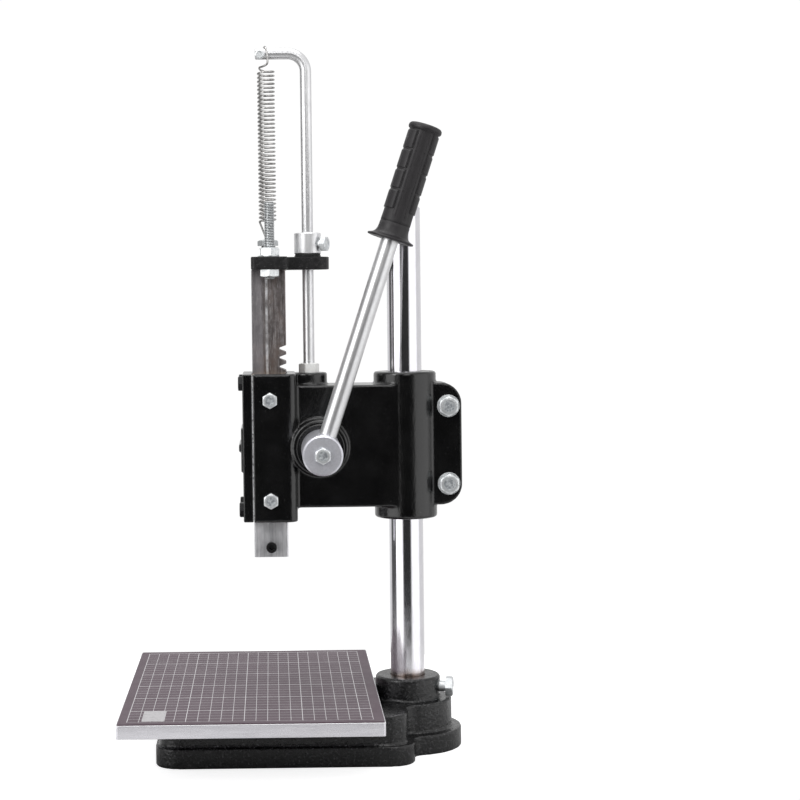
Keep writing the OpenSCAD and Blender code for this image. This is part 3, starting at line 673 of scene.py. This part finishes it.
def make_grip():
    """Moulded grip: rings at the outline's corners, at the rows' ends and evenly along the rows."""
    low = LEVER_LENGTH - GRIP_LENGTH
    stations = [corner[0] for corner in GRIP_PROFILE]
    stations += [GRIP_STEP * k for k in range(29, 166)]
    for row in range(GRIP_ROWS):
        start = GRIP_ROW_START + row * GRIP_ROW_PITCH
        end = start + GRIP_ROW_PITCH - GRIP_ROW_GAP
        stations += [start, start + 0.4, end - 1.8, end]
    stations = sorted(set(round(u, 3) for u in stations))
    place = LEVER_PLACE @ Matrix.Translation((0, 0, low)) @ Matrix.Scale(MM, 4)
    vertices, faces = turned_grid(
        stations, GRIP_SIDES, lambda u, turn: grip_profile(u) + grip_relief(u, turn), place)
    add_piece("grip_moulded", vertices, faces, "grip_rubber", "handle", "handle_grip")


def thread_radius(low, high):
    """Radius of a threaded rod from low to high, with a chamfer at both of its ends."""
    def radius(u, turn):
        wave = (u / THREAD_PITCH - turn / (2 * math.pi)) % 1.0
        flank = 1 - abs(2 * wave - 1)
        flank = min(1.0, max(0.0, 1.35 * flank - 0.2))  # flat at the root and at the crest
        ends = min(u - low, high - u)
        return min(THREAD_RADIUS - THREAD_DEPTH * (1 - flank),
                   THREAD_RADIUS - THREAD_CHAMFER + max(0.0, ends))
    return radius


STUD_STEPS = 432
STUD_SIDES = 36


def make_stud():
    """Threaded stud of the depth stop."""
    low, high = (corner.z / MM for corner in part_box("depth_stop_stud"))
    middle = (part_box("depth_stop_stud")[0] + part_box("depth_stop_stud")[1]) / 2
    stations = [low + (high - low) * k / STUD_STEPS for k in range(STUD_STEPS + 1)]
    place = Matrix.Translation((middle.x, middle.y, 0)) @ Matrix.Scale(MM, 4)
    vertices, faces = turned_grid(stations, STUD_SIDES, thread_radius(low, high), place)
    stud = add_piece("stud_threaded", vertices, faces, "zinc", "depth_stop", "depth_stop_stud")
    assign(stud, threaded_zinc("depth_stop_stud"))


# Return spring, in millimetres.
COIL_RADIUS = 7.55
WIRE_RADIUS = 0.95
WIRE_SIDES = 12
COIL_LOW, COIL_HIGH = 496.95, 639.05
COIL_TURNS = 37.75
COIL_STEPS = 28
ANCHOR_Z = 472.95
SHANK_HOOK_RADIUS = 6.3
ARM_HOOK_RADIUS = 6.65
ARM_Z = 655.0


def spring_path():
    """Wire's centre line: hook round the bolt, rise to the coils, and hook over the arm."""
    low_hook = [(SHANK_HOOK_RADIUS * math.cos(a), SHANK_HOOK_RADIUS * math.sin(a), ANCHOR_Z)
                for a in (math.radians(-60 + 30 * k) for k in range(9))]
    low_lead = [(-9.85, -0.5, ANCHOR_Z + 0.4), (-10.15, -0.9, ANCHOR_Z + 3),
                (-9.85, -1.4, ANCHOR_Z + 8.05), (-COIL_RADIUS, -4.5, COIL_LOW - 7.95)]
    coil = []
    for k in range(int(COIL_TURNS * COIL_STEPS) + 1):
        turn = -math.pi / 2 + 2 * math.pi * k / COIL_STEPS
        rise = (COIL_HIGH - COIL_LOW) * k / (COIL_TURNS * COIL_STEPS)
        coil.append((COIL_RADIUS * math.cos(turn), COIL_RADIUS * math.sin(turn), COIL_LOW + rise))
    top_lead = [(-COIL_RADIUS + 1.5, -5, COIL_HIGH + 1.65), (-0.5, -6, COIL_HIGH + 3.15),
                (4.5, -2.5, COIL_HIGH + 3.75), (ARM_HOOK_RADIUS, 1.2, COIL_HIGH + 5.55),
                (ARM_HOOK_RADIUS + 0.1, 1.9, COIL_HIGH + 9.45)]
    top_hook = [(ARM_HOOK_RADIUS * math.cos(a), 1.2 - math.degrees(a) / 45,
                 ARM_Z + ARM_HOOK_RADIUS * math.sin(a))
                for a in (math.radians(20 * k) for k in range(11))]
    start = smooth_path([MM * Vector(p) for p in low_hook + low_lead + coil[:1]], 6)
    end = smooth_path([MM * Vector(p) for p in coil[-1:] + top_lead + top_hook], 6)
    return start[:-1] + [MM * Vector(p) for p in coil] + end[1:]


def make_spring():
    """Spring wire between its hooks."""
    vertices, faces = sweep(spring_path(), WIRE_RADIUS * MM, WIRE_SIDES)
    spring = add_piece("spring_wire", vertices, faces, "spring_steel", None, "return_spring")
    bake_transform(spring)


dress_frame()
make_grip()
make_stud()
make_spring()

# ---- Camera, light and stage ----

CAMERA_PLACE = Vector((1.671, 0.002, 0.422))
CAMERA_LENS = 79.4
CAMERA_SHIFT = (0.161, -0.072)
CAMERA_PITCH = math.radians(1.35)
CAMERA_ROLL = math.radians(-0.72)


def make_camera():
    """Camera on the lever's side, looking almost level along -X."""
    data = bpy.data.cameras.new("camera")
    data.lens = CAMERA_LENS
    data.sensor_width = 36
    data.shift_x, data.shift_y = CAMERA_SHIFT
    data.clip_start, data.clip_end = 0.05, 50
    camera = bpy.data.objects.new("camera", data)
    bpy.context.scene.collection.objects.link(camera)
    right = Vector((0, 1, 0))
    back = Vector((math.cos(CAMERA_PITCH), 0, math.sin(CAMERA_PITCH)))
    up = back.cross(right)
    turn = Matrix((right, up, back)).transposed().to_4x4()
    camera.matrix_world = (Matrix.Translation(CAMERA_PLACE) @ turn
                           @ Matrix.Rotation(CAMERA_ROLL, 4, "Z"))
    bpy.context.scene.camera = camera


def area_light(name, place, target, size, power):
    """Soft rectangular light at a place, turned to its target."""
    data = bpy.data.lights.new(name, "AREA")
    data.shape = "RECTANGLE"
    data.size, data.size_y = size
    data.energy = power
    light = bpy.data.objects.new(name, data)
    bpy.context.scene.collection.objects.link(light)
    light.location = place
    light.rotation_euler = (Vector(target) - Vector(place)).to_track_quat("-Z", "Y").to_euler()


# The studio is a pale wall all round with screens in front of it. A screen has the direction of
# its middle and its width, in degrees, and its level. Directions run from the lever's side
# (+X, 0) to the rear (+Y, 90) and to the front (-Y, -90).
WALL_LEVEL = 0.8
SCREENS = ((-100, 40, 0.1), (-55, 40, 1.9), (0, 50, 0.03), (60, 50, 1.4))
SOFT_EDGE = 10
# Above and below, the walls fade into a plain ceiling and ground between these heights, which
# are sines of the elevation.
CEILING_LEVEL = 0.85
CEILING_FROM, CEILING_TO = 0.28, 0.5
GROUND_LEVEL = 0.5
GROUND_FROM, GROUND_TO = -0.26, -0.45
# What the camera sees behind the object, a little over white.
BACKDROP_LEVEL = 1.02
# Levels are stored as shares of this one, because the ramp's colours stay below 1.
STUDIO_PEAK = 2.0


def wall_stops():
    """Directions and levels round the studio: the screens' edges, and the bare wall beyond."""
    stops = [(middle + side * width / 2, level) for middle, width, level in SCREENS
             for side in (-1, 1)]
    first, last = stops[0][0] - SOFT_EDGE, stops[-1][0] + SOFT_EDGE
    return [(first, WALL_LEVEL), *stops, (last, WALL_LEVEL)]


def world_ramp(tree, factor):
    """Studio walls as a colour ramp over the whole turn."""
    ramp_node = tree.nodes.new("ShaderNodeValToRGB")
    tree.links.new(factor, ramp_node.inputs["Fac"])
    elements = ramp_node.color_ramp.elements
    while len(elements) > 1:
        elements.remove(elements[-1])
    for index, (degrees, level) in enumerate(wall_stops()):
        share = degrees / 360 + 0.5
        element = elements[0] if index == 0 else elements.new(share)
        element.position = share
        element.color = (*[level / STUDIO_PEAK] * 3, 1)
    return ramp_node.outputs["Color"]


def world_spread(tree, value, low, high):
    """value between low and high, spread over 0 to 1 and held at its ends."""
    spread = tree.nodes.new("ShaderNodeMapRange")
    tree.links.new(value, spread.inputs["Value"])
    spread.inputs["From Min"].default_value = low
    spread.inputs["From Max"].default_value = high
    return spread.outputs["Result"]


def world_mix(tree, factor, a, level):
    """The colour a where factor is 0, and the grey of a level where it is 1."""
    mixed = tree.nodes.new("ShaderNodeMix")
    mixed.data_type = "RGBA"
    tree.links.new(factor, mixed.inputs["Factor"])
    tree.links.new(a, mixed.inputs[6])
    mixed.inputs[7].default_value = (*[level / STUDIO_PEAK] * 3, 1)
    return mixed.outputs[2]


def make_world():
    """White to the camera; to the object a studio of bright and dark screens."""
    world = bpy.data.worlds.new("studio")
    bpy.context.scene.world = world
    world.use_nodes = True
    tree = world.node_tree
    direction = tree.nodes.new("ShaderNodeTexCoord").outputs["Generated"]
    split = tree.nodes.new("ShaderNodeSeparateXYZ")
    tree.links.new(direction, split.inputs[0])
    turn = tree.nodes.new("ShaderNodeMath")
    turn.operation = "ARCTAN2"
    tree.links.new(split.outputs["Y"], turn.inputs[0])
    tree.links.new(split.outputs["X"], turn.inputs[1])
    share = world_spread(tree, turn.outputs[0], -math.pi, math.pi)
    walls = world_ramp(tree, share)
    overhead = world_spread(tree, split.outputs["Z"], CEILING_FROM, CEILING_TO)
    underfoot = world_spread(tree, split.outputs["Z"], GROUND_FROM, GROUND_TO)
    room = world_mix(tree, overhead, walls, CEILING_LEVEL)
    room = world_mix(tree, underfoot, room, GROUND_LEVEL)
    path = tree.nodes.new("ShaderNodeLightPath")
    seen = world_mix(tree, path.outputs["Is Camera Ray"], room, BACKDROP_LEVEL)
    background = tree.nodes["Background"]
    background.inputs["Strength"].default_value = STUDIO_PEAK
    tree.links.new(seen, background.inputs["Color"])


FLOOR_RADIUS = 0.45
FLOOR_SIDES = 96
# The camera sees the paper glow from one level to the other between these shares of its radius.
FLOOR_FADE_FROM, FLOOR_FADE_TO = 0.6, 0.98
FLOOR_GLOW_MIDDLE, FLOOR_GLOW_EDGE = 0.78, 1.0
# The object mirrors no glow inside this radius, and this level of it beyond.
FLOOR_SHADE_RADIUS, FLOOR_SHADE_EDGE = 0.29, 0.05
FLOOR_GLOW_MIRRORED = 0.6


def make_floor():
    """A round of pale paper just large enough for the shadow, which fades into the white."""
    turns = [2 * math.pi * k / FLOOR_SIDES for k in range(FLOOR_SIDES)]
    mesh = bpy.data.meshes.new("floor")
    mesh.from_pydata([(FLOOR_RADIUS * math.cos(t), FLOOR_RADIUS * math.sin(t), 0) for t in turns],
                     [], [tuple(range(FLOOR_SIDES))])
    floor = bpy.data.objects.new("floor", mesh)
    bpy.context.scene.collection.objects.link(floor)
    shader = Shader("floor_paper", (0.9, 0.9, 0.9), 0.0, 0.8)
    shader.link(shader.mix(shader.noise(3, 2), (0.48, 0.48, 0.48), (0.50, 0.50, 0.50)),
                "Base Color")
    from_middle = shader.distance()
    shader.set_socket("Emission Color", (1, 1, 1, 1))
    seen = shader.spread(from_middle, FLOOR_FADE_FROM * FLOOR_RADIUS,
                         FLOOR_FADE_TO * FLOOR_RADIUS, FLOOR_GLOW_MIDDLE, FLOOR_GLOW_EDGE)
    mirrored = shader.spread(from_middle, FLOOR_SHADE_RADIUS,
                             FLOOR_SHADE_RADIUS + FLOOR_SHADE_EDGE, 0.0, FLOOR_GLOW_MIRRORED)
    is_seen = shader.node("ShaderNodeLightPath").outputs["Is Camera Ray"]
    shader.link(shader.math("ADD", shader.math("MULTIPLY", seen, is_seen), shader.math(
        "MULTIPLY", mirrored, shader.math("SUBTRACT", 1.0, is_seen))), "Emission Strength")
    mesh.materials.append(shader.material)


make_camera()
make_world()
make_floor()
area_light("key", (1.5, -1.4, 1.5), (0, 0, 0.3), (0.7, 0.9), 12)
area_light("front", (2.3, 0.3, 1.3), (0, 0, 0.3), (0.8, 0.8), 6)
area_light("top", (0.2, 0.0, 2.2), (0, 0, 0.2), (1.6, 1.6), 18)
bpy.context.scene.view_settings.view_transform = "Standard"
